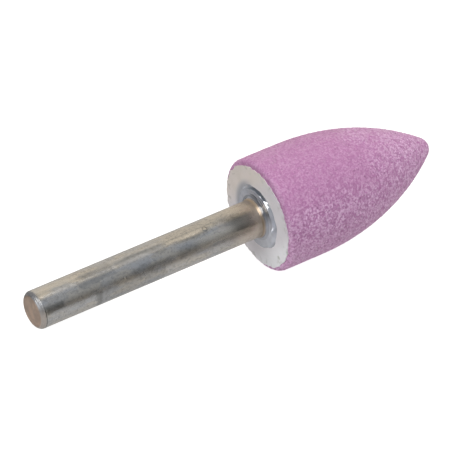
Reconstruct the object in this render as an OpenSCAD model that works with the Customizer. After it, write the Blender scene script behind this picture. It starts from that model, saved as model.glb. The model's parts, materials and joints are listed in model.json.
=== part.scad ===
// Mounted grinding point: a pointed-arch abrasive head, set with resin on a plain steel shank.
// Every piece is turned about one axis. Along it, z = 0 is the head's back face, +z runs to the point
// and -z runs down the shank. laid() then puts the whole down as it comes to rest on a flat surface,
// on the shank's free end and the head's rim.

/* [Shank] */
// Diameter of the shank, which the collet grips
shank_d = 6; // [4:0.1:8]
// Length of shank that stands out of the head
shank_free = 40.5; // [25:0.5:80]
// Chamfer at 45 degrees round the free end
end_chamfer = 0.8; // [0.2:0.1:1.2]

/* [Bonded end of the shank] */
// Depth to which the shank is set into the head
set_depth = 14; // [8:0.5:18]
// How far the bonded end is turned down below the shank, on the radius, all along the resin
grip_relief = 0.2; // [0.1:0.05:0.4]
// Depth below the head's back face at which the knurl starts
knurl_start = 1; // [0.5:0.1:4]
// Number of straight knurl grooves round the bonded end
knurl_count = 20; // [12:1:28]
// Depth of a knurl groove, cut at 90 degrees
knurl_depth = 0.25; // [0.1:0.05:0.3]
// Chamfer at 45 degrees round the inner end
inner_chamfer = 0.5; // [0.2:0.1:1]

/* [Abrasive head] */
// Largest diameter of the head
head_d = 18.3; // [15:0.1:26]
// Length of the head, from the back face to the point
head_len = 31.7; // [26:0.1:45]
// Length of straight side, from the back face to where the arch starts
straight_len = 7.6; // [3:0.1:14]
// Radius of the rounded point
tip_r = 1.95; // [0.5:0.05:3]
// Radius of the worn edge round the back face
back_edge_r = 0.75; // [0.3:0.05:1.5]

/* [Bore in the head] */
// Gap between the shank and the bore, on the radius, which the resin fills
bore_gap = 0.2; // [0.1:0.05:0.5]
// Gap between the shank's inner end and the end of the bore's straight wall
bore_end_gap = 0.3; // [0.1:0.1:1]
// Point angle of the bore's end
bore_point_angle = 118; // [90:1:140]

/* [Label] */
// Thickness of the paper label
label_t = 0.12; // [0.08:0.01:0.3]
// Margin of bare abrasive between the label and the rounded back edge
label_margin = 0.15; // [0:0.05:1]
// Gap between the bore and the label's hole, on the radius
label_hole_gap = 0.3; // [0.1:0.1:1]

/* [Resin bead] */
// Width of the bead on the label, from the shank outwards
bead_w = 2.2; // [1.4:0.1:3]
// Height of the bead on the label, which is also the radius of its rounded rim
bead_t = 0.45; // [0.2:0.05:0.8]
// Radius of the hollow fillet where the resin climbs the shank
meniscus_r = 0.7; // [0.3:0.05:1]

/* [Hidden] */
$fn = 96;

// Radii about the axis
shank_r = shank_d / 2;
grip_r = shank_r - grip_relief;
head_r = head_d / 2;
bore_r = shank_r + bore_gap;
label_r = head_r - back_edge_r - label_margin;
label_hole_r = bore_r + label_hole_gap;
bead_r = shank_r + bead_w;

// The arch leaves the straight side without a corner and runs into the round point the same way
arch_rise = head_len - tip_r - straight_len;
arch_r = (arch_rise * arch_rise + head_r * head_r - tip_r * tip_r) / (2 * (head_r - tip_r));
arch_end_angle = atan2(arch_rise, arch_r - head_r);
arch_end_z = straight_len + arch_r * sin(arch_end_angle);

// Straight wall of the bore, and the cone at its end
bore_len = set_depth + bore_end_gap;
bore_point_len = bore_r / tan(bore_point_angle / 2);

// The bead's hollow fillet runs from the bead's top to the shank, which is full size from there on
rim_x = bead_r - bead_t;
fillet_x = shank_r + meniscus_r;
fillet_y = bead_t + meniscus_r;
resin_top = label_t + fillet_y;

// At rest the axis climbs towards the head by rest_tilt, because the head is wider than the shank
foot_z = shank_free - end_chamfer;
rim_span = foot_z + back_edge_r;
rim_drop = head_r - back_edge_r - shank_r;
rest_tilt = atan2(rim_drop, rim_span) + asin(back_edge_r / norm([rim_span, rim_drop]));
face_height = shank_r * cos(rest_tilt) + foot_z * sin(rest_tilt);
low_x = -shank_free * cos(rest_tilt) - (shank_r - end_chamfer) * sin(rest_tilt);
high_x = (head_len - tip_r) * cos(rest_tilt) + tip_r;

// Cutting past a face, so that no skin is left on it
overcut = 1;

module laid() {
    translate([-(low_x + high_x) / 2, 0, face_height])
        rotate([0, 90 - rest_tilt, 0])
            children();
}

// Half section of the head's outside: rounded back edge, straight side, arch and round point
module head_section() {
    square([head_r - back_edge_r, back_edge_r]);
    intersection() {
        translate([head_r - back_edge_r, back_edge_r])
            circle(r = back_edge_r);
        square([head_r, back_edge_r]);
    }
    translate([0, back_edge_r])
        square([head_r, straight_len - back_edge_r]);
    intersection() {
        translate([head_r - arch_r, straight_len])
            circle(r = arch_r);
        translate([0, straight_len])
            square([head_r, arch_end_z - straight_len]);
    }
    intersection() {
        translate([0, head_len - tip_r])
            circle(r = tip_r);
        translate([0, arch_end_z])
            square([tip_r, head_len - arch_end_z]);
    }
}

// Half section of the bore: straight wall and pointed end
module bore_section() {
    polygon([[0, 0], [bore_r, 0], [bore_r, bore_len], [0, bore_len + bore_point_len]]);
}

module abrasive_head() {
    color([0.77, 0.54, 0.70])
        rotate_extrude()
            difference() {
                head_section();
                bore_section();
            }
}

// Half section of the shank: chamfered free end, plain length, then the bonded end, turned down
module shank_section() {
    polygon([
        [0, -shank_free],
        [shank_r - end_chamfer, -shank_free],
        [shank_r, -shank_free + end_chamfer],
        [shank_r, -resin_top],
        [grip_r, -resin_top],
        [grip_r, set_depth - inner_chamfer],
        [grip_r - inner_chamfer, set_depth],
        [0, set_depth]
    ]);
}

// One straight groove of the knurl, lying along the bonded end
module knurl_groove() {
    outer = grip_r + overcut;
    half_w = knurl_depth + overcut;
    translate([0, 0, knurl_start])
        linear_extrude(set_depth - knurl_start + overcut)
            polygon([[grip_r - knurl_depth, 0], [outer, half_w], [outer, -half_w]]);
}

module shank_solid() {
    difference() {
        rotate_extrude()
            shank_section();
        for (i = [0:knurl_count - 1])
            rotate([0, 0, i * 360 / knurl_count])
                knurl_groove();
    }
}

module shank() {
    color([0.66, 0.64, 0.60])
        shank_solid();
}

// Half section of the bead, drawn upwards from the label: a round rim, then a hollow fillet up the shank
module bead_section() {
    difference() {
        union() {
            square([rim_x, bead_t]);
            square([fillet_x, fillet_y]);
        }
        translate([fillet_x, fillet_y])
            circle(r = meniscus_r);
    }
    intersection() {
        translate([rim_x, 0])
            circle(r = bead_t);
        translate([rim_x, 0])
            square([bead_t, bead_t]);
    }
}

// The resin fills the bore and the label's hole round the shank, and stands on the label as a bead
module bonding_resin() {
    color([0.62, 0.65, 0.70])
        difference() {
            rotate_extrude() {
                bore_section();
                translate([0, -label_t])
                    square([label_hole_r, label_t]);
                translate([0, -label_t])
                    mirror([0, 1])
                        bead_section();
            }
            shank_solid();
        }
}

module label_ring() {
    color([0.84, 0.84, 0.83])
        translate([0, 0, -label_t])
            difference() {
                cylinder(r = label_r, h = label_t);
                translate([0, 0, -overcut])
                    cylinder(r = label_hole_r, h = label_t + 2 * overcut);
            }
}

laid() abrasive_head();
laid() shank();
laid() bonding_resin();
laid() label_ring();
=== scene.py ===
import json
import math

import bmesh
import bpy
from mathutils import Matrix, Vector


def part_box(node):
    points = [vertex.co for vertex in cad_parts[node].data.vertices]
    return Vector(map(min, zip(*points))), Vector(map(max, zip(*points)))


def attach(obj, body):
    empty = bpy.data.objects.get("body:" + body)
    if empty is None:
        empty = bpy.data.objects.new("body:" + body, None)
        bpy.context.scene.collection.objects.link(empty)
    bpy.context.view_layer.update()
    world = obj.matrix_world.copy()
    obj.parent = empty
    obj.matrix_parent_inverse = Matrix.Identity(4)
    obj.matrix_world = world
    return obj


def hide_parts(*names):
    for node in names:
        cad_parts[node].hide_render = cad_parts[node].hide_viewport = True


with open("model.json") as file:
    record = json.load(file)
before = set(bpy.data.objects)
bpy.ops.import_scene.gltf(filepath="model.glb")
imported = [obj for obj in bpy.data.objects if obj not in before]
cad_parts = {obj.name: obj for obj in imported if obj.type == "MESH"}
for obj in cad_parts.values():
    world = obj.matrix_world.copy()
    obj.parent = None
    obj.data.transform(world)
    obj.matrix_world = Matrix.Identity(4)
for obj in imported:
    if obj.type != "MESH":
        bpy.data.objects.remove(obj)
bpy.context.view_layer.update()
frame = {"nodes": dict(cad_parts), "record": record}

# The looks of one mounted grinding point. Lengths are in metres.
# Each turned piece is drawn about its own axis, with z = 0 on the head's back face and z rising to the point,
# and LAID then puts it down where the solids lie.
MM = 0.001
QUARTER = math.pi / 2

# What the frame says: the shank's mount gives the axis, and the solids give the sizes along and across it
MOUNT = frame["record"]["mounts"][0]
AXIS = -Vector(MOUNT["axis"]).normalized()
SHANK_R = MOUNT["dims"]["r_mm"] * MM


def along_axis(node):
    """Lowest and highest place of a solid along the axis, from the mount's own point."""
    start = Vector(MOUNT["pos_m"])
    places = [(v.co - start).dot(AXIS) for v in frame["nodes"][node].data.vertices]
    return min(places), max(places)


def radius_of(node):
    """Largest radius of a turned solid, which its width across the axis gives."""
    low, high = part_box(node)
    return (high.y - low.y) / 2


FACE_PLACE, POINT_PLACE = along_axis("abrasive_head")
FACE = Vector(MOUNT["pos_m"]) + AXIS * FACE_PLACE
HEAD_LEN = POINT_PLACE - FACE_PLACE
HEAD_R = radius_of("abrasive_head")
LABEL_R = radius_of("label_ring")
LABEL_T = FACE_PLACE - along_axis("label_ring")[0]
BEAD_R = radius_of("bonding_resin")
RESIN_CLIMB = FACE_PLACE - along_axis("bonding_resin")[0]
SHANK_FREE = FACE_PLACE - along_axis("shank")[0]
SHANK_DEPTH = along_axis("shank")[1] - FACE_PLACE

# Down, sideways and along the axis, as columns, then the middle of the back face
DOWN = Vector((AXIS.z, 0, -AXIS.x))
LAID = Matrix.Translation(FACE) @ Matrix((DOWN, (0, 1, 0), AXIS)).transposed().to_4x4()

# Head: straight side, arch, round point and worn back edge, and the bore for the shank
STRAIGHT_LEN = 7.6 * MM
POINT_R = 1.95 * MM
BACK_EDGE_R = 0.75 * MM
BORE_R = 3.2 * MM
BORE_LEN = 14.3 * MM
BORE_POINT = 1.92 * MM
ARCH_RISE = HEAD_LEN - POINT_R - STRAIGHT_LEN
ARCH_R = (ARCH_RISE ** 2 + HEAD_R ** 2 - POINT_R ** 2) / (2 * (HEAD_R - POINT_R))
ARCH_ANGLE = math.atan2(ARCH_RISE, ARCH_R - HEAD_R)
GRAIN = 0.27 * MM
FINE_GRAIN = 0.17 * MM
GRAIN_DEPTH = 0.09 * MM

# Label: its hole, and how far its edge is set off centre
LABEL_HOLE_R = 3.5 * MM
LABEL_SHIFT = Vector((0.11, 0.23, 0)) * MM

# Resin bead: a bevelled rim, a flank that leans on the shank, the radii where its ripples fade, and a drip
BEAD_HEIGHT = 0.45 * MM
FLANK_LEAN = math.radians(26)
FLANK_FOOT = 0.16 * MM
RIM_ROUND = 0.08 * MM
RIM_LEAN = math.radians(42)
RIPPLES_FADE = (BEAD_R - 1.1 * MM, BEAD_R - 0.75 * MM)
DRIP_ANGLE = math.radians(-80.2)
DRIP_OUT = 4.89 * MM
DRIP_PLACE = -0.35 * MM
DRIP = Vector((DRIP_OUT * math.cos(DRIP_ANGLE), DRIP_OUT * math.sin(DRIP_ANGLE), DRIP_PLACE))
DRIP_TOP = 0.1 * MM
DRIP_FOOT = 1.0 * MM

# Shank: chamfered free end with its corners rubbed round, and the knurled end in the resin
END_CHAMFER = 0.8 * MM
END_ROUND = 0.15 * MM
END_LEAN = math.radians(12)
GRIP_RELIEF = 0.2 * MM
GRIP_R = SHANK_R - GRIP_RELIEF
INNER_CHAMFER = 0.5 * MM
KNURL_START = 1 * MM
KNURL_DEPTH = 0.25 * MM
KNURL_COUNT = 20

# Square to the axis, the way that the photograph shows as downwards, in the turned pieces' own coordinates
SEEN_BELOW = Vector((0.858, -0.513, 0.0))

# Meshing
MERGE = 0.002 * MM
SHARP = math.radians(50)
ARC_POINTS = 64


class Sheet:
    """Writes a node tree step by step: each call adds one node and gives back its first output."""

    def __init__(self, tree):
        self.tree = tree

    def feed(self, socket, value):
        """Links another node's output to a socket, or sets a plain value on it."""
        if isinstance(value, bpy.types.NodeSocket):
            self.tree.links.new(value, socket)
        else:
            socket.default_value = value

    def node(self, kind, inputs=None, **settings):
        made = self.tree.nodes.new(kind)
        for name, value in settings.items():
            setattr(made, name, value)
        for key, value in (inputs or {}).items():
            self.feed(made.inputs[key], value)
        return made

    def __call__(self, kind, inputs=None, **settings):
        return self.node(kind, inputs, **settings).outputs[0]

    def math(self, operation, *terms):
        return self("ShaderNodeMath", dict(enumerate(terms)), operation=operation)

    def add(self, first, second):
        return self.math("ADD", first, second)

    def less(self, first, second):
        return self.math("SUBTRACT", first, second)

    def times(self, first, *others):
        for other in others:
            first = self.math("MULTIPLY", first, other)
        return first

    def vector_math(self, operation, *terms):
        made = self.node("ShaderNodeVectorMath", dict(enumerate(terms)), operation=operation)
        return made.outputs["Value" if operation in ("LENGTH", "DISTANCE", "DOT_PRODUCT") else "Vector"]

    def scaled(self, vector, factor):
        return self("ShaderNodeVectorMath", {0: vector, "Scale": factor}, operation="SCALE")

    def xyz(self, x, y, z):
        return self("ShaderNodeCombineXYZ", {0: x, 1: y, 2: z})

    def split(self, vector):
        return self.node("ShaderNodeSeparateXYZ", {0: vector}).outputs

    def ramp(self, value, low, high, to_low=0.0, to_high=1.0):
        terms = {"Value": value, "From Min": low, "From Max": high, "To Min": to_low, "To Max": to_high}
        return self("ShaderNodeMapRange", terms, interpolation_type="SMOOTHSTEP")

    def band(self, value, low, high, soft):
        """1 between low and high, falling to 0 over the soft width outside them."""
        return self.times(self.ramp(value, low - soft, low), self.ramp(value, high, high + soft, 1.0, 0.0))

    def mix(self, factor, first, second):
        return self.node("ShaderNodeMix", {0: factor, 6: first, 7: second}, data_type="RGBA").outputs[2]

    def noise(self, vector, scale, detail=2.0, roughness=0.5):
        terms = {"Vector": vector, "Scale": scale, "Detail": detail, "Roughness": roughness}
        return self("ShaderNodeTexNoise", terms)

    def rings(self, vector, place, around, across, detail=2.0):
        """Noise drawn out round the axis: slow along a ring, and quick from one place to the next."""
        x, y, _ = self.split(vector)
        drawn = self.xyz(self.times(x, around), self.times(y, around), self.times(place, across))
        return self.noise(drawn, 1.0, detail=detail)

    def cells(self, vector, size):
        """Random cells of about that size: the distance from a cell's middle, and the cell's own colour."""
        made = self.node("ShaderNodeTexVoronoi", {"Vector": vector, "Scale": 1 / size})
        return made.outputs["Distance"], made.outputs["Color"]


# Turned pieces, made by Geometry Nodes

class Turning(Sheet):
    """A node tree that turns an outline about the axis. Its sizes are named inputs, set where it is used."""

    KINDS = {float: "NodeSocketFloat", int: "NodeSocketInt"}

    def __init__(self, name):
        super().__init__(bpy.data.node_groups.new(name, "GeometryNodeTree"))
        self.tree.interface.new_socket("Geometry", in_out="OUTPUT", socket_type="NodeSocketGeometry")
        self.entry = self.tree.nodes.new("NodeGroupInput")
        self.values = {}

    def size(self, name, value):
        """A named input of the tree, and the value that it has here."""
        socket = self.tree.interface.new_socket(name, in_out="INPUT", socket_type=self.KINDS[type(value)])
        self.values[socket.identifier] = value
        return self.entry.outputs[name]

    def place(self, radius, z):
        """A point of the outline, given by its radius and its place along the axis."""
        return self.xyz(self.less(radius, SHANK_R), self.times(z, -1.0), 0.0)

    def evenly(self, curve, spacing):
        return self("GeometryNodeResampleCurve", {"Curve": curve, "Length": spacing}, mode="LENGTH")

    def line(self, start, end, spacing):
        """A straight stretch of the outline, divided evenly."""
        terms = {"Start": self.place(*start), "End": self.place(*end)}
        return self.evenly(self("GeometryNodeCurvePrimitiveLine", terms), spacing)

    def arc(self, centre, radius, start, sweep, spacing):
        """A round stretch of the outline. Angles are from straight out, and grow towards the point."""
        terms = {"Resolution": ARC_POINTS, "Radius": radius,
                 "Start Angle": self.times(start, -1.0), "Sweep Angle": self.times(sweep, -1.0)}
        curve = self("GeometryNodeCurveArc", terms)
        moved = self("GeometryNodeTransform", {"Geometry": curve, "Translation": self.place(*centre)})
        return self.evenly(moved, spacing)

    def eased_corner(self, corner, width, small, lean, spacing):
        """A rubbed corner, drawn inwards: a wide bulge between two small rounds that turn by lean."""
        radius, z = corner
        reach = self.math("DIVIDE", self.less(width, small), math.cos(lean) - math.sin(lean))
        outer = (self.less(radius, small), self.add(z, width))
        middle = (self.less(outer[0], self.times(reach, math.cos(lean))),
                  self.add(outer[1], self.times(reach, math.sin(lean))))
        inner = (self.less(radius, width), self.add(z, small))
        return [
            self.arc(outer, small, 0.0, -lean, spacing),
            self.arc(middle, self.add(reach, small), -lean, 2 * lean - QUARTER, spacing),
            self.arc(inner, small, lean - QUARTER, -lean, spacing),
        ]

    def turn(self, outline, around):
        """The outline swept round the axis, with its seams and poles closed."""
        joined = self.node("GeometryNodeJoinGeometry")
        for curve in outline:
            self.tree.links.new(curve, joined.inputs[0])
        circle = self("GeometryNodeCurvePrimitiveCircle", {"Resolution": around, "Radius": SHANK_R})
        upright = self("GeometryNodeSetCurveNormal", {"Curve": circle}, mode="Z_UP")
        swept = self("GeometryNodeCurveToMesh", {"Curve": upright, "Profile Curve": joined.outputs[0]})
        return self("GeometryNodeMergeByDistance", {"Geometry": swept, "Distance": MERGE})

    def lay(self, mesh):
        """The turned piece, laid down where its solid lies."""
        terms = {"Geometry": mesh, "Translation": FACE, "Rotation": LAID.to_euler()}
        return self("GeometryNodeTransform", terms)

    def moved(self, mesh, offset):
        return self("GeometryNodeSetPosition", {"Geometry": mesh, "Offset": offset})

    def position(self):
        return self("GeometryNodeInputPosition")

    def about_axis(self):
        """Straight out from the axis, the radius, and the place along it, before a piece is laid down."""
        x, y, z = self.split(self.position())
        flat = self.xyz(x, y, 0.0)
        return self.vector_math("NORMALIZE", flat), self.vector_math("LENGTH", flat), z

    def piece(self, name, mesh, material, slot, node):
        """Runs the tree and keeps the finished piece: a plain mesh, in the frame, in place of its solid."""
        smooth = self("GeometryNodeSetShadeSmooth", {"Geometry": mesh})
        painted = self("GeometryNodeSetMaterial", {"Geometry": smooth, "Material": material})
        real = self("GeometryNodeRealizeInstances", {"Geometry": painted})
        self.tree.links.new(real, self.tree.nodes.new("NodeGroupOutput").inputs[0])
        piece = bpy.data.objects.new(name, bpy.data.meshes.new(name))
        bpy.context.scene.collection.objects.link(piece)
        modifier = piece.modifiers.new(name, "NODES")
        modifier.node_group = self.tree
        for identifier, value in self.values.items():
            modifier[identifier] = value
        graph = bpy.context.evaluated_depsgraph_get()
        made = bpy.data.meshes.new_from_object(piece.evaluated_get(graph))
        piece.modifiers.clear()
        piece.data = made
        face_outwards(made)
        made.set_sharp_from_angle(angle=SHARP)
        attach(piece, "root")
        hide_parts(node)


def face_outwards(mesh):
    """Turns every face of a closed mesh to the outside."""
    edit = bmesh.new()
    edit.from_mesh(mesh)
    bmesh.ops.recalc_face_normals(edit, faces=edit.faces)
    edit.to_mesh(mesh)
    edit.free()


def make_head(material):
    """The abrasive head: a pointed arch turned about its bore, its skin broken into separate grains."""
    t = Turning("gritty head")
    radius, length = t.size("Head radius", HEAD_R), t.size("Head length", HEAD_LEN)
    straight, edge = t.size("Straight side", STRAIGHT_LEN), t.size("Back edge radius", BACK_EDGE_R)
    point_r = t.size("Point radius", POINT_R)
    arch_r, arch_angle = t.size("Arch radius", ARCH_R), t.size("Arch angle", ARCH_ANGLE)
    bore_r, bore_len = t.size("Bore radius", BORE_R), t.size("Bore length", BORE_LEN)
    bore_point = t.size("Bore point", BORE_POINT)
    depth = t.size("Grain depth", GRAIN_DEPTH)
    covered = t.size("Radius under the label", LABEL_R - 0.3 * MM)
    fine, coarse = t.size("Skin spacing", 0.14 * MM), t.size("Bore spacing", 1.5 * MM)
    around = t.size("Faces around", 372)

    edge_r = t.less(radius, edge)
    bore_end = t.add(bore_len, bore_point)
    arch_centre = (t.less(radius, arch_r), straight)
    outline = [
        t.arc((0.0, t.less(length, point_r)), point_r, QUARTER, t.less(arch_angle, QUARTER), fine),
        t.arc(arch_centre, arch_r, arch_angle, t.times(arch_angle, -1.0), fine),
        t.line((radius, straight), (radius, edge), fine),
        t.arc((edge_r, edge), edge, 0.0, -QUARTER, fine),
        t.line((edge_r, 0.0), (covered, 0.0), fine),
        t.line((covered, 0.0), (bore_r, 0.0), coarse),
        t.line((bore_r, 0.0), (bore_r, bore_len), coarse),
        t.line((bore_r, bore_len), (0.0, bore_end), coarse),
    ]
    mesh = t.turn(outline, around)

    # The face under the label and the bore stay plain
    _, from_axis, z = t.about_axis()
    skin = t.math("MAXIMUM", t.math("GREATER_THAN", from_axis, covered), t.math("GREATER_THAN", z, bore_end))
    mesh = t("GeometryNodeStoreNamedAttribute", {"Geometry": mesh, "Name": "skin", "Value": skin})
    mesh = t.lay(mesh)
    skin = t("GeometryNodeInputNamedAttribute", {"Name": "skin"}, data_type="FLOAT")

    # Each cell is a grain with its own height, lower towards its sides, and a few have broken out
    near, tint = t.cells(t.position(), GRAIN)
    level, broken, _ = t.split(tint)
    sides = t.ramp(near, 0.15, 0.75)
    low = t.add(t.times(level, 0.5), t.times(sides, 0.5))
    drop = t.times(t.add(low, t.ramp(broken, 0.90, 0.94)), depth, skin)
    mesh = t.moved(mesh, t.scaled(t("GeometryNodeInputNormal"), t.times(drop, -1.0)))
    t.piece("gritty_head", mesh, material, "abrasive", "abrasive_head")


def make_label(material):
    """The paper ring on the back face, with a slightly uneven edge and set a little off centre."""
    t = Turning("label ring")
    outer, inner = t.size("Outer radius", LABEL_R), t.size("Hole radius", LABEL_HOLE_R)
    thick, corner = t.size("Thickness", LABEL_T), t.size("Corner radius", 0.04 * MM)
    uneven, wider = t.size("Unevenness of the edge", 1.1 * MM), t.size("Overlap on the edge", 0.15 * MM)
    wide, fine = t.size("Face spacing", 0.25 * MM), t.size("Edge spacing", 0.03 * MM)
    around = t.size("Faces around", 300)
    top = t.times(thick, -1.0)
    shoulder, inside = t.add(top, corner), t.less(outer, corner)
    outline = [
        t.line((inner, 0.0), (outer, 0.0), wide),
        t.line((outer, 0.0), (outer, shoulder), fine),
        t.arc((inside, shoulder), corner, 0.0, -QUARTER, fine),
        t.line((inside, top), (inner, top), wide),
        t.line((inner, top), (inner, 0.0), wide),
    ]
    mesh = t.turn(outline, around)

    # The edge wanders, inwards more than outwards, and lies off centre, while the hole keeps its place
    out, from_axis, _ = t.about_axis()
    torn = t.noise(out, 8.0, detail=3.0, roughness=0.65)
    wave = t.math("MINIMUM", t.less(torn, 0.62), 0.1)
    near_edge = t.ramp(from_axis, 0.8 * LABEL_R, LABEL_R)
    spread = t.vector_math("ADD", t.scaled(out, t.add(t.times(wave, uneven), wider)), LABEL_SHIFT)
    mesh = t.moved(mesh, t.scaled(spread, near_edge))
    t.piece("paper_label", t.lay(mesh), material, "label", "label_ring")


def make_resin(material):
    """The resin: a sleeve in the bore, and on the label a bead that has run unevenly and climbs the shank."""
    t = Turning("resin bead")
    bead_r, shank_r = t.size("Bead radius", BEAD_R), t.size("Shank radius", SHANK_R)
    climb, label = t.size("Climb on the shank", RESIN_CLIMB), t.size("Label thickness", LABEL_T)
    rim, foot = t.size("Bead height", BEAD_HEIGHT), t.size("Radius at the flank's foot", FLANK_FOOT)
    hole_r, bore_r = t.size("Label hole radius", LABEL_HOLE_R), t.size("Bore radius", BORE_R)
    bore_len, bore_point = t.size("Bore length", BORE_LEN), t.size("Bore point", BORE_POINT)
    grip_r, depth = t.size("Grip radius", GRIP_R), t.size("Depth of the shank", SHANK_DEPTH)
    rim_round, drip_high = t.size("Rim corner radius", RIM_ROUND), t.size("Drip height", 0.48 * MM)
    run, swell = t.size("Unevenness of the rim", 0.5), t.size("Ripple height", 0.22 * MM)
    fine, coarse = t.size("Bead spacing", 0.035 * MM), t.size("Sleeve spacing", 1.5 * MM)
    around = t.size("Faces around", 300)

    rim_r, base, crest = t.less(bead_r, rim), t.times(label, -1.0), t.times(climb, -1.0)
    top = t.less(base, rim)
    corner_r = t.add(shank_r, t.times(t.less(top, crest), math.tan(FLANK_LEAN)))
    reach = t.times(foot, math.tan((QUARTER - FLANK_LEAN) / 2))
    flat_r = t.add(corner_r, reach)
    flank_end = (t.less(corner_r, t.times(reach, math.sin(FLANK_LEAN))),
                 t.less(top, t.times(reach, math.cos(FLANK_LEAN))))
    outline = [
        t.line((0.0, t.add(bore_len, bore_point)), (bore_r, bore_len), coarse),
        t.line((bore_r, bore_len), (bore_r, 0.0), coarse),
        t.line((bore_r, 0.0), (hole_r, 0.0), coarse),
        t.line((hole_r, 0.0), (hole_r, base), coarse),
        t.line((hole_r, base), (bead_r, base), fine),
        *t.eased_corner((bead_r, top), rim, rim_round, RIM_LEAN, fine),
        t.line((rim_r, top), (flat_r, top), fine),
        t.arc((flat_r, t.less(top, foot)), foot, QUARTER, QUARTER - FLANK_LEAN, fine),
        t.line(flank_end, (shank_r, crest), fine),
        t.line((shank_r, crest), (grip_r, crest), coarse),
        t.line((grip_r, crest), (grip_r, depth), coarse),
        t.line((grip_r, depth), (0.0, depth), coarse),
    ]
    mesh = t.turn(outline, around)

    # The rim wanders in and out, with its foot on the label
    out, from_axis, z = t.about_axis()
    on_label = t.math("LESS_THAN", z, t.times(base, 0.99))
    spread = t.math("MAXIMUM", t.less(from_axis, shank_r), 0.0)
    wander = t.less(t.noise(out, 1.7, detail=1.5), 0.6)
    mesh = t.moved(mesh, t.scaled(out, t.times(wander, run, spread, on_label)))

    # Above its foot, the skin has set in slow ripples, and a drip stands up at one place
    out, from_axis, z = t.about_axis()
    on_bead = t.times(t.math("LESS_THAN", z, t.times(base, 1.01)), t.math("GREATER_THAN", from_axis, shank_r))
    waves = t.rings(out, from_axis, 1.5, 1300.0, detail=1.0)
    inside = t.ramp(from_axis, *RIPPLES_FADE, 1.0, 0.0)
    ripple = t.times(t.less(waves, 0.5), swell, inside)
    from_drip = t.vector_math("DISTANCE", t.position(), DRIP)
    drip = t.times(t.ramp(from_drip, DRIP_TOP, DRIP_FOOT, 1.0, 0.0), drip_high)
    high = t.ramp(z, t.less(base, 0.3 * MM), base, 1.0, 0.0)
    mesh = t.moved(mesh, t.xyz(0.0, 0.0, t.times(t.less(ripple, drip), on_bead, high)))
    t.piece("resin_bead", t.lay(mesh), material, "resin", "bonding_resin")


def make_shank(material):
    """The steel pin: rubbed chamfer, plain drawn length, then the knurled end that the resin holds."""
    t = Turning("steel shank")
    radius, free = t.size("Shank radius", SHANK_R), t.size("Free length", SHANK_FREE)
    chamfer, rub = t.size("End chamfer", END_CHAMFER), t.size("Rubbed corner radius", END_ROUND)
    grip_r, depth = t.size("Grip radius", GRIP_R), t.size("Depth in the head", SHANK_DEPTH)
    climb, inner = t.size("Climb of the resin", RESIN_CLIMB), t.size("Inner chamfer", INNER_CHAMFER)
    knurl_start, knurl_depth = t.size("Knurl start", KNURL_START), t.size("Knurl depth", KNURL_DEPTH)
    knurl_count = t.size("Knurl count", KNURL_COUNT)
    fine, wide = t.size("Corner spacing", 0.05 * MM), t.size("Length spacing", 0.5 * MM)
    around = t.size("Faces around", 240)

    end, step = t.times(free, -1.0), t.times(climb, -1.0)
    outline = [
        t.line((0.0, depth), (t.less(grip_r, inner), depth), wide),
        t.line((t.less(grip_r, inner), depth), (grip_r, t.less(depth, inner)), fine),
        t.line((grip_r, t.less(depth, inner)), (grip_r, knurl_start), wide),
        t.line((grip_r, knurl_start), (grip_r, step), wide),
        t.line((grip_r, step), (radius, step), fine),
        t.line((radius, step), (radius, t.add(end, chamfer)), wide),
        *t.eased_corner((radius, end), chamfer, rub, END_LEAN, fine),
        t.line((t.less(radius, chamfer), end), (0.0, end), wide),
    ]
    mesh = t.turn(outline, around)

    # Straight grooves at 90 degrees
    out, from_axis, z = t.about_axis()
    x, y, _ = t.split(out)
    angle = t.math("ARCTAN2", y, x)
    pitch = t.math("DIVIDE", 2 * math.pi, knurl_count)
    across = t.times(t.math("PINGPONG", angle, t.times(pitch, 0.5)), grip_r)
    cut = t.math("MAXIMUM", t.less(knurl_depth, across), 0.0)
    on_grip = t.times(t.math("GREATER_THAN", z, knurl_start), t.math("GREATER_THAN", from_axis, 0.8 * GRIP_R))
    mesh = t.moved(mesh, t.scaled(out, t.times(cut, on_grip, -1.0)))
    t.piece("steel_shank", t.lay(mesh), material, "steel", "shank")


# Materials

class Finish(Sheet):
    """A material's node tree, with the coordinates that its patterns follow."""

    def __init__(self, name):
        self.material = bpy.data.materials.new(name)
        self.material.use_nodes = True
        super().__init__(self.material.node_tree)
        self.shader = self.tree.nodes["Principled BSDF"]
        self.here = self.node("ShaderNodeTexCoord").outputs["Object"]
        back = LAID.inverted()
        terms = {"Vector": self.here, "Location": back.to_translation(), "Rotation": back.to_euler()}
        self.turned = self("ShaderNodeMapping", terms)

    def set(self, **sockets):
        """Sets the shader's own sockets, each named with _ for a space."""
        for name, value in sockets.items():
            self.feed(self.shader.inputs[name.replace("_", " ")], value)

    def bump(self, height, distance, strength=1.0, normal=None):
        """The surface's normal over a pattern of heights, on top of another one if it is given."""
        terms = {"Height": height, "Distance": distance, "Strength": strength}
        if normal:
            terms["Normal"] = normal
        return self("ShaderNodeBump", terms)

    def facets(self, tint, tilt):
        """The surface's normal, tipped a different way on each grain."""
        normal = self.node("ShaderNodeNewGeometry").outputs["Normal"]
        tip = self.scaled(self.vector_math("SUBTRACT", tint, (0.5, 0.5, 0.5)), tilt)
        return self.vector_math("NORMALIZE", self.vector_math("ADD", normal, tip))

    def about_axis(self):
        """Straight out from the axis, and the radius."""
        x, y, _ = self.split(self.turned)
        flat = self.xyz(x, y, 0.0)
        return self.vector_math("NORMALIZE", flat), self.vector_math("LENGTH", flat)

    def seen_across(self):
        """How far a place lies below the axis, square to it, in the photograph's view."""
        return self.vector_math("DOT_PRODUCT", self.turned, SEEN_BELOW)


def srgb(red, green, blue):
    """A colour as seen on screen, 0 to 255, as the linear values that sockets take."""
    values = [c / 255 for c in (red, green, blue)]
    return tuple(c / 12.92 if c <= 0.04045 else ((c + 0.055) / 1.055) ** 2.4 for c in values) + (1.0,)


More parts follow.
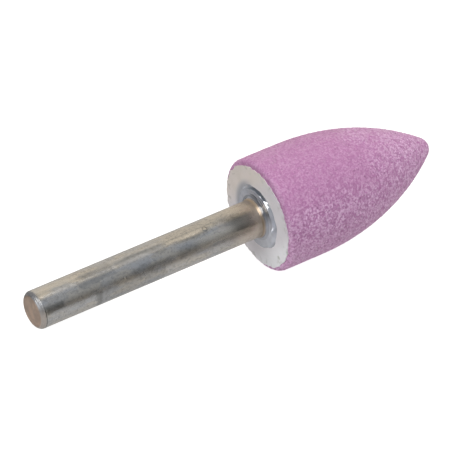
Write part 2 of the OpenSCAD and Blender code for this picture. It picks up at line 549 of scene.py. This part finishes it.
# Colours of the abrasive: its smooth skin, its grains, the painted shade in the gaps between them, and where
# some have broken out
MAUVE = srgb(189, 122, 173)
DEEP_GRAIN = srgb(198, 134, 187)
PALE_GRAIN = srgb(255, 219, 251)
GRAIN_GAP_SHADE = srgb(166, 112, 156)
BROKEN_OUT = srgb(160, 110, 150)


def abrasive_finish():
    """Pink fused alumina: glassy grains, each with its own tone. Towards the point and on the lower side they
    are painted paler and with more contrast, as painted sheen and grain shade.
    """
    f = Finish("pink abrasive grain")
    near, tint = f.cells(f.here, GRAIN)
    level, broken, pale = f.split(tint)
    _, fine_tint = f.cells(f.here, FINE_GRAIN)
    _, _, z = f.split(f.turned)
    # Towards the point and on the lower side: painted sheen and grain shade, with paler grains, more contrast
    # and darker gaps over their own tones
    cloud = f.noise(f.here, 260.0, detail=3.0)
    shift = f.times(f.less(cloud, 0.5), 0.6)
    to_point = f.ramp(f.add(f.times(z, 1 / HEAD_LEN), shift), 0.35, 0.85)
    low_side = f.ramp(f.add(f.times(f.seen_across(), 1 / HEAD_R), shift), -0.15, 0.65)
    painted_sheen_side = f.math("MAXIMUM", to_point, low_side)
    tone = f.add(f.times(pale, 0.55), f.times(f.split(fine_tint)[0], 0.45))
    tone = f.ramp(tone, 0.2, 0.9)
    contrast = f.ramp(painted_sheen_side, 0.0, 1.0, 0.32, 0.74)
    body = f.mix(contrast, MAUVE, f.mix(tone, DEEP_GRAIN, PALE_GRAIN))
    # Painted shade in the gaps between grains
    body = f.mix(f.times(f.ramp(near, 0.45, 0.8), contrast, 0.3), body, GRAIN_GAP_SHADE)
    body = f.mix(f.ramp(broken, 0.92, 0.95, 0.0, 0.3), body, BROKEN_OUT)
    dust = f.noise(f.here, 9000.0, detail=2.0)
    facets = f.facets(tint, f.ramp(painted_sheen_side, 0.0, 1.0, 0.33, 0.5))
    f.set(Base_Color=body, Roughness=f.ramp(level, 0.0, 1.0, 0.75, 0.4))
    f.set(Normal=f.bump(dust, 0.02 * MM, strength=0.5, normal=facets))
    f.set(Sheen_Weight=0.1, Sheen_Roughness=0.6)
    return f.material


# Colours of the paper, each without and with its stain: painted warm shade for its upper side, a middle tone,
# and painted light for its lower side; then what has soaked into it and what soils it
UPPER_PAPER_SHADE = (srgb(237, 228, 222), srgb(220, 212, 202))
MIDDLE_PAPER_TONE = (srgb(231, 227, 231), srgb(214, 211, 214))
LOWER_PAPER_LIGHT = (srgb(250, 250, 253), srgb(230, 230, 232))
SOAKED = srgb(164, 167, 175)
GRIME = srgb(150, 150, 136)
SOIL = srgb(150, 152, 132)

# The side on which resin has soaked into the paper next to the bead, and how far it has
SOAKED_SIDE = Vector((-0.34, 0.94, 0.0))
SOAKED_REACH = 1.2 * MM

# Soiled places on the label: angle round the axis, distance out, half width
LABEL_SOIL = [
    (math.radians(-66), 7.0 * MM, 0.5 * MM),
    (math.radians(-39), 7.1 * MM, 0.6 * MM),
]


def label_finish():
    """Matt white paper with stains: painted warm shade on its upper side, a middle tone across its middle and
    painted light on its lower side, and soiled towards its edge.
    """
    f = Finish("white label paper")
    stain = f.noise(f.turned, 420.0, detail=4.0)
    upper_shade = f.mix(f.ramp(stain, 0.4, 0.75, 0.0, 0.4), *UPPER_PAPER_SHADE)
    middle_tone = f.mix(f.ramp(stain, 0.4, 0.75, 0.0, 0.3), *MIDDLE_PAPER_TONE)
    lower_light = f.mix(f.ramp(stain, 0.4, 0.75, 0.0, 0.3), *LOWER_PAPER_LIGHT)
    below = f.times(f.seen_across(), 1 / LABEL_R)
    # Painted warm shade on the upper side and painted light on the lower side, over the paper's own stains
    body = f.mix(f.ramp(below, -0.75, -0.25), upper_shade, f.mix(f.ramp(below, 0.5, 0.85), middle_tone, lower_light))
    out, from_axis = f.about_axis()
    soaked = f.times(f.ramp(from_axis, BEAD_R, BEAD_R + SOAKED_REACH, 1.0, 0.0),
                     f.ramp(f.vector_math("DOT_PRODUCT", out, SOAKED_SIDE), 0.3, 0.9))
    body = f.mix(f.times(soaked, 0.9), body, SOAKED)
    grime = f.ramp(f.noise(f.turned, 900.0, detail=3.0), 0.52, 0.7, 0.0, 0.55)
    body = f.mix(f.times(f.ramp(from_axis, 0.82 * LABEL_R, LABEL_R), grime), body, GRIME)
    for angle, distance, half in LABEL_SOIL:
        spot = Vector((math.cos(angle), math.sin(angle), 0)) * distance
        away = f.add(f.vector_math("DISTANCE", f.turned, spot), f.times(f.less(stain, 0.5), 1.5 * MM))
        body = f.mix(f.ramp(away, 0.1 * MM, half, 0.55, 0.0), body, SOIL)
    fibre = f.noise(f.turned, 5000.0, detail=3.0)
    f.set(Base_Color=body, Roughness=0.7, Normal=f.bump(fibre, 0.02 * MM, strength=0.5))
    return f.material


# Colours of the resin: its clouded body, painted dark reflection rings, painted shade along its foot, painted
# dark reflection in the hollow, and the film along the shank
DEEP_RESIN = srgb(182, 186, 198)
PALE_RESIN = srgb(206, 209, 218)
DARK_REFLECTION_RING = srgb(84, 90, 98)
BEAD_FOOT_SHADE = srgb(120, 122, 128)
HOLLOW_DARK_REFLECTION = srgb(104, 108, 116)
FILM = srgb(174, 157, 138)

# The side of the bead where the painted dark reflection rings lie
DARK_REFLECTION_SIDE = Vector((-0.866, -0.5, 0.0))


def resin_finish():
    """Hardened clear resin: glossy blue-grey with painted dark reflection rings on one side, painted shade
    and dark reflection near its foot and hollow, and a thin brown film on the steel.
    """
    f = Finish("grey bonding resin")
    out, from_axis = f.about_axis()
    cloud = f.noise(f.turned, 500.0, detail=2.0)
    body = f.mix(f.ramp(cloud, 0.3, 0.7), DEEP_RESIN, PALE_RESIN)
    # Painted dark reflection: rings of dark on one side of the bead
    reflection_rings = f.rings(out, from_axis, 1.3, 2400.0)
    reflection_side = f.ramp(f.vector_math("DOT_PRODUCT", out, DARK_REFLECTION_SIDE), 0.5, 0.9)
    body = f.mix(f.times(f.ramp(reflection_rings, 0.42, 0.56, 0.35, 0.95), reflection_side), body, DARK_REFLECTION_RING)
    # Painted shade along the bead's foot
    foot = f.ramp(from_axis, BEAD_R - 0.35 * MM, BEAD_R)
    body = f.mix(f.times(foot, 0.5), body, BEAD_FOOT_SHADE)
    # Painted dark reflection in the hollow next to the shank, weaker on the lower side
    hollow = f.band(from_axis, SHANK_R + 0.25 * MM, SHANK_R + 0.6 * MM, 0.15 * MM)
    body = f.mix(f.times(hollow, f.ramp(f.seen_across(), 0.0, SHANK_R, 0.65, 0.3)), body, HOLLOW_DARK_REFLECTION)
    thin = f.ramp(from_axis, SHANK_R + 0.08 * MM, SHANK_R + 0.28 * MM, 1.0, 0.0)
    body = f.mix(thin, body, FILM)
    f.set(Base_Color=body, Metallic=f.times(thin, 0.9), Roughness=f.ramp(thin, 0.0, 1.0, 0.06, 0.37), IOR=1.9)
    return f.material


# Colours of the steel: bright and handled places, streaks and specks, the tarnish next to the head,
# the marks with painted shade and highlight among them, the chamfer's painted shade and light, and the cut
# face of the free end
BRIGHT = srgb(206, 201, 192)
HANDLED = srgb(192, 194, 197)
STREAK = srgb(160, 157, 152)
SPECK = srgb(146, 146, 146)
TARNISH = srgb(186, 166, 142)
SMUT_AND_SHADE = srgb(96, 96, 92)
SCUFF = srgb(136, 139, 144)
RUB_AND_HIGHLIGHT = srgb(234, 227, 214)
CHAMFER_UPPER_SHADE = srgb(110, 110, 113)
CHAMFER_LOWER_LIGHT = srgb(178, 168, 160)
CUT_PALE = srgb(185, 164, 148)
CUT_DARK = srgb(165, 148, 136)

# Marks on the shank, some smudges and rubs and some painted shade and highlight in bands along it: place
# along it, half length, softness of its ends, then place across it as seen, half width, strength and colour
SHANK_MARKS = [
    (-30.3 * MM, 0.3 * MM, 0.5 * MM, 0.72, 0.25, 0.42, SMUT_AND_SHADE),
    (-24.5 * MM, 5.5 * MM, 0.5 * MM, 0.80, 0.25, 0.22, SMUT_AND_SHADE),
    (-38.0 * MM, 1.3 * MM, 0.5 * MM, 0.28, 0.12, 0.50, SMUT_AND_SHADE),
    (-34.5 * MM, 3.0 * MM, 1.5 * MM, 0.38, 0.06, 0.22, SMUT_AND_SHADE),
    (-13.6 * MM, 2.2 * MM, 1.2 * MM, 0.20, 0.10, 0.22, SMUT_AND_SHADE),
    (-21.0 * MM, 3.0 * MM, 1.2 * MM, 0.26, 0.10, 0.25, SMUT_AND_SHADE),
    (-4.5 * MM, 1.0 * MM, 2.6 * MM, -0.10, 0.28, 0.58, SMUT_AND_SHADE),
    (-4.9 * MM, 0.5 * MM, 0.4 * MM, -0.40, 0.10, 0.30, SMUT_AND_SHADE),
    (-15.5 * MM, 9.0 * MM, 3.0 * MM, -0.44, 0.05, 0.28, SMUT_AND_SHADE),
    (-30.0 * MM, 3.0 * MM, 0.5 * MM, -0.45, 0.22, 0.45, SCUFF),
    (-36.0 * MM, 3.0 * MM, 1.0 * MM, -0.70, 0.10, 0.45, RUB_AND_HIGHLIGHT),
    (-20.0 * MM, 8.0 * MM, 3.0 * MM, -0.64, 0.04, 0.25, RUB_AND_HIGHLIGHT),
    (-9.3 * MM, 2.2 * MM, 2.0 * MM, 0.20, 0.20, 0.45, RUB_AND_HIGHLIGHT),
    (-4.0 * MM, 1.4 * MM, 1.2 * MM, -0.78, 0.10, 0.30, RUB_AND_HIGHLIGHT),
    (-4.0 * MM, 1.4 * MM, 1.2 * MM, 0.66, 0.28, 0.22, RUB_AND_HIGHLIGHT),
]

# Pimples on the shank: place along it, place across it as seen, radius and height
SHANK_PIMPLES = [
    (-25.8 * MM, 0.25 * SHANK_R, 0.40 * MM, 0.06 * MM),
    (-10.5 * MM, -0.46 * SHANK_R, 0.50 * MM, 0.06 * MM),
]

# How far smudges push the ends of the marks and of the tarnish about, and how soft a mark is at its sides
MARK_STRAY = 3 * MM
TARNISH_STRAY = 14 * MM
MARK_SIDE_SOFT = 0.15

# The painted shade line round the chamfer's outer edge
EDGE_LINE = 0.08 * MM
EDGE_LINE_SOFT = 0.07 * MM


def steel_finish():
    """Drawn steel bar: a soft mirror along its length, grey where handled, and brown on the cut end."""
    f = Finish("drawn steel")
    x, y, z = f.split(f.turned)
    below = f.times(f.seen_across(), 1 / SHANK_R)
    streak = f.noise(f.xyz(x, y, f.times(z, 0.12)), 2600.0, detail=4.0, roughness=0.6)
    smudge = f.noise(f.xyz(x, y, f.times(z, 0.35)), 420.0, detail=4.0, roughness=0.6)
    speck = f.noise(f.turned, 2200.0, detail=3.0, roughness=0.6)
    body = f.mix(f.ramp(smudge, 0.4, 0.62), BRIGHT, HANDLED)
    body = f.mix(f.ramp(streak, 0.45, 0.75, 0.0, 0.25), body, STREAK)
    body = f.mix(f.ramp(speck, 0.45, 0.7, 0.0, 0.5), body, SPECK)
    ragged = f.less(smudge, 0.5)
    near_head = f.ramp(f.add(z, f.times(ragged, TARNISH_STRAY)), -9 * MM, -2 * MM)
    body = f.mix(f.times(near_head, 0.6), body, TARNISH)
    # Some marks are smudges and rubs; others are painted shade and painted highlight in bands along the shank
    for place, half_long, soft, side, half_wide, strength, colour in SHANK_MARKS:
        ends = f.band(f.add(z, f.times(ragged, MARK_STRAY)), place - half_long, place + half_long, soft)
        sides = f.band(f.add(below, ragged), side - half_wide, side + half_wide, MARK_SIDE_SOFT)
        body = f.mix(f.times(ends, sides, strength), body, colour)

    # Free end: a turned chamfer with painted shade on its upper side and painted light on its lower side, a
    # painted shade line round its edge, and the cut face
    from_end = f.add(z, SHANK_FREE)
    turned_off = f.ramp(from_end, END_CHAMFER - END_ROUND, END_CHAMFER, 1.0, 0.0)
    # Painted shade on the chamfer's upper side and painted light on its lower side
    chamfer = f.mix(f.ramp(below, 0.0, 0.6), CHAMFER_UPPER_SHADE, CHAMFER_LOWER_LIGHT)
    body = f.mix(f.times(turned_off, 0.8), body, chamfer)
    # Painted shade line round the chamfer's outer edge, stronger on the lower side
    edge = f.band(from_end, END_CHAMFER, END_CHAMFER + EDGE_LINE, EDGE_LINE_SOFT)
    body = f.mix(f.times(edge, f.ramp(below, -0.2, 0.5, 0.1, 0.85)), body, SMUT_AND_SHADE)
    on_end = f.ramp(from_end, 0.03 * MM, 0.16 * MM, 1.0, 0.0)
    cut = f.noise(f.turned, 900.0, detail=3.0)
    body = f.mix(on_end, body, f.mix(f.ramp(cut, 0.35, 0.65), CUT_PALE, CUT_DARK))

    # Rougher on the cut face, the chamfer and under the resin's edge
    dull = f.times(turned_off, f.less(1.0, on_end))
    rough = f.add(f.ramp(smudge, 0.35, 0.65, 0.2, 0.3), f.times(on_end, 0.25))
    rough = f.add(f.add(rough, f.times(dull, 0.18)), f.ramp(z, -2.4 * MM, -1.5 * MM, 0.0, 0.15))

    # The drawn skin wavers, each pimple has a bump with a painted highlight on top and painted shade round
    # its foot, and the chamfer shows turning lines
    waver = f.noise(f.xyz(x, y, f.times(z, 0.15)), 260.0, detail=1.0)
    skin = f.bump(waver, 0.1 * MM, strength=0.3)
    for place, side, radius, height in SHANK_PIMPLES:
        away = f.vector_math("LENGTH", f.xyz(f.less(z, place), f.less(f.seen_across(), side), 0.0))
        # Painted shade round the pimple's foot and a painted highlight on its top
        body = f.mix(f.ramp(away, 0.7 * radius, radius, 0.45, 0.0), body, SMUT_AND_SHADE)
        body = f.mix(f.ramp(away, 0.3 * radius, 0.7 * radius, 0.6, 0.0), body, RUB_AND_HIGHLIGHT)
        skin = f.bump(f.ramp(away, 0.0, radius, 1.0, 0.0), height, normal=skin)
    lines = f.rings(f.turned, from_end, 250.0, 2600.0)
    skin = f.bump(lines, 0.25 * MM, strength=dull, normal=skin)
    f.set(Base_Color=body, Metallic=f.ramp(dull, 0.0, 1.0, 1.0, 0.5), Roughness=rough, Normal=skin)
    return f.material


make_head(abrasive_finish())
make_label(label_finish())
make_resin(resin_finish())
make_shank(steel_finish())


# Stage: a pale floor under a soft tent of light that is open and dim on one side

WHITE = (1.0, 1.0, 1.0, 1.0)

# Floor: its half side, and the half length, half width and softness of the strip that glows under the part
FLOOR_HALF = 2.0
FLOOR_COLOUR = (0.32, 0.31, 0.30, 1.0)
FLOOR_GLOW = 0.93
STRIP_GLOW = 0.37
STRIP_LONG = 40 * MM
STRIP_LONG_SOFT = 25 * MM
STRIP_WIDE = 5 * MM
STRIP_WIDE_SOFT = 18 * MM

# Tent: where its edge, its seam and its dark side lie, how soft they are, and the light of each part
TENT_EDGE = -0.28
TENT_EDGE_SOFT = 0.04
TENT_SEAM = 0.25
SEAM_HALF = 0.03
SEAM_SOFT = 0.05
DARK_SIDE = -0.4
DARK_SOFT = 0.1
TENT_LIGHT = (0.74, 0.69, 0.62, 1.0)
SEAM_LIGHT = (0.42, 0.41, 0.39, 1.0)
OPEN_HIGH = (0.42, 0.44, 0.47, 1.0)
OPEN_LOW = (0.23, 0.23, 0.23, 1.0)
DARK_LIGHT = (0.14, 0.15, 0.17, 1.0)

# Panels: name, place, side, power, colour, and True if gloss mirrors it or False if it lights matt surfaces
NEUTRAL = (1.0, 1.0, 1.0)
PANELS = [
    ("overhead", (-0.05, 0.05, 0.6), 0.5, 0.85, (1.0, 0.99, 0.98), False),
    ("front fill", (-0.35, -0.55, 0.35), 0.4, 1.02, NEUTRAL, False),
    ("point fill", (0.55, -0.45, 0.22), 0.4, 1.28, NEUTRAL, False),
    ("side fill", (-0.56, -0.084, 0.25), 0.36, 1.0, NEUTRAL, False),
    ("window", (-0.5565, -0.075, 0.21), 0.25, 2.3, (0.97, 0.99, 1.0), True),
    ("front lamp", (-0.318, -0.26, 0.44), 0.34, 1.5, (1.0, 0.97, 0.92), True),
    ("high lamp", (0.10, -0.07, 0.58), 0.06, 0.015, (1.0, 0.98, 0.95), True),
]


def make_floor():
    """A flat pale sheet, lit from below in a strip under the part. To the camera it glows white all over."""
    mesh = bpy.data.meshes.new("floor")
    corners = [(x * FLOOR_HALF, y * FLOOR_HALF, 0) for x, y in ((-1, -1), (1, -1), (1, 1), (-1, 1))]
    mesh.from_pydata(corners, [], [(0, 1, 2, 3)])
    floor = bpy.data.objects.new("floor", mesh)
    bpy.context.scene.collection.objects.link(floor)
    f = Finish("pale floor")
    x, y, _ = f.split(f.here)
    strip = f.times(f.band(y, -STRIP_WIDE, STRIP_WIDE, STRIP_WIDE_SOFT),
                    f.band(x, -STRIP_LONG, STRIP_LONG, STRIP_LONG_SOFT), STRIP_GLOW)
    seen = f.node("ShaderNodeLightPath").outputs["Is Camera Ray"]
    glow = f.math("MAXIMUM", strip, f.times(seen, FLOOR_GLOW))
    f.set(Base_Color=FLOOR_COLOUR, Roughness=0.9, Specular_IOR_Level=0.0)
    f.set(Emission_Color=WHITE, Emission_Strength=glow)
    mesh.materials.append(f.material)


def make_surroundings():
    """The light tent: bright and warm above and behind, with a seam, and dim and bluish on its open side."""
    world = bpy.data.worlds.new("light tent")
    bpy.context.scene.world = world
    world.use_nodes = True
    w = Sheet(world.node_tree)
    side, back, height = w.split(w.node("ShaderNodeTexCoord").outputs["Generated"])
    seam = w.band(back, TENT_SEAM - SEAM_HALF, TENT_SEAM + SEAM_HALF, SEAM_SOFT)
    tent = w.mix(seam, TENT_LIGHT, SEAM_LIGHT)
    opening = w.mix(w.ramp(height, 0.0, 0.6), OPEN_LOW, OPEN_HIGH)
    glow = w.mix(w.ramp(back, TENT_EDGE - TENT_EDGE_SOFT, TENT_EDGE + TENT_EDGE_SOFT), opening, tent)
    glow = w.mix(w.ramp(side, DARK_SIDE - DARK_SOFT, DARK_SIDE + DARK_SOFT), DARK_LIGHT, glow)
    seen = w.node("ShaderNodeLightPath").outputs["Is Camera Ray"]
    w.feed(w.tree.nodes["Background"].inputs["Color"], w.mix(seen, glow, WHITE))


def make_panel(name, place, size, power, colour, mirrored):
    """A soft square light that faces the head. It is either mirrored in gloss or lights matt surfaces."""
    light = bpy.data.lights.new(name, "AREA")
    light.shape = "SQUARE"
    light.size = size
    light.energy = power
    light.color = colour
    panel = bpy.data.objects.new(name, light)
    panel.location = place
    panel.rotation_euler = (FACE - Vector(place)).to_track_quat("-Z", "Y").to_euler()
    panel.visible_glossy = mirrored
    panel.visible_diffuse = not mirrored
    bpy.context.scene.collection.objects.link(panel)


# Camera, where the photograph was taken from

PHOTO_SIDE = 452
SENSOR = 36.0
FOCAL_PIXELS = 3800.0
FACE_PIXEL = (258.6, 216.1)
FACE_DISTANCE = 577 * MM
AXIS_AWAY = math.radians(25.97)
AXIS_ROLL = math.radians(22.82)
CLIP_START = 10 * MM


def make_camera():
    """A level camera that sees the axis lean away and rise to the right as the photograph does."""
    rise = math.asin(AXIS.z)
    heading = math.asin(math.cos(AXIS_AWAY) * math.cos(AXIS_ROLL) / math.cos(rise))
    lean = math.atan2(math.cos(AXIS_AWAY) * math.sin(AXIS_ROLL), math.sin(AXIS_AWAY))
    down = lean - math.atan2(math.sin(rise), math.cos(rise) * math.cos(heading))
    ahead = Vector((math.cos(down) * math.cos(heading), math.cos(down) * math.sin(heading), -math.sin(down)))
    right = Vector((math.sin(heading), -math.cos(heading), 0))
    up = right.cross(ahead)
    pixel = FACE_DISTANCE / FOCAL_PIXELS
    across = (FACE_PIXEL[0] - PHOTO_SIDE / 2) * pixel
    above = (PHOTO_SIDE / 2 - FACE_PIXEL[1]) * pixel
    data = bpy.data.cameras.new("camera")
    data.sensor_width = SENSOR
    data.lens = FOCAL_PIXELS * SENSOR / PHOTO_SIDE
    data.clip_start = CLIP_START
    camera = bpy.data.objects.new("camera", data)
    place = FACE - ahead * FACE_DISTANCE - right * across - up * above
    camera.matrix_world = Matrix.Translation(place) @ Matrix((right, up, -ahead)).transposed().to_4x4()
    bpy.context.scene.collection.objects.link(camera)
    bpy.context.scene.camera = camera


make_floor()
make_surroundings()
for panel in PANELS:
    make_panel(*panel)
make_camera()
bpy.context.scene.view_settings.view_transform = "Standard"
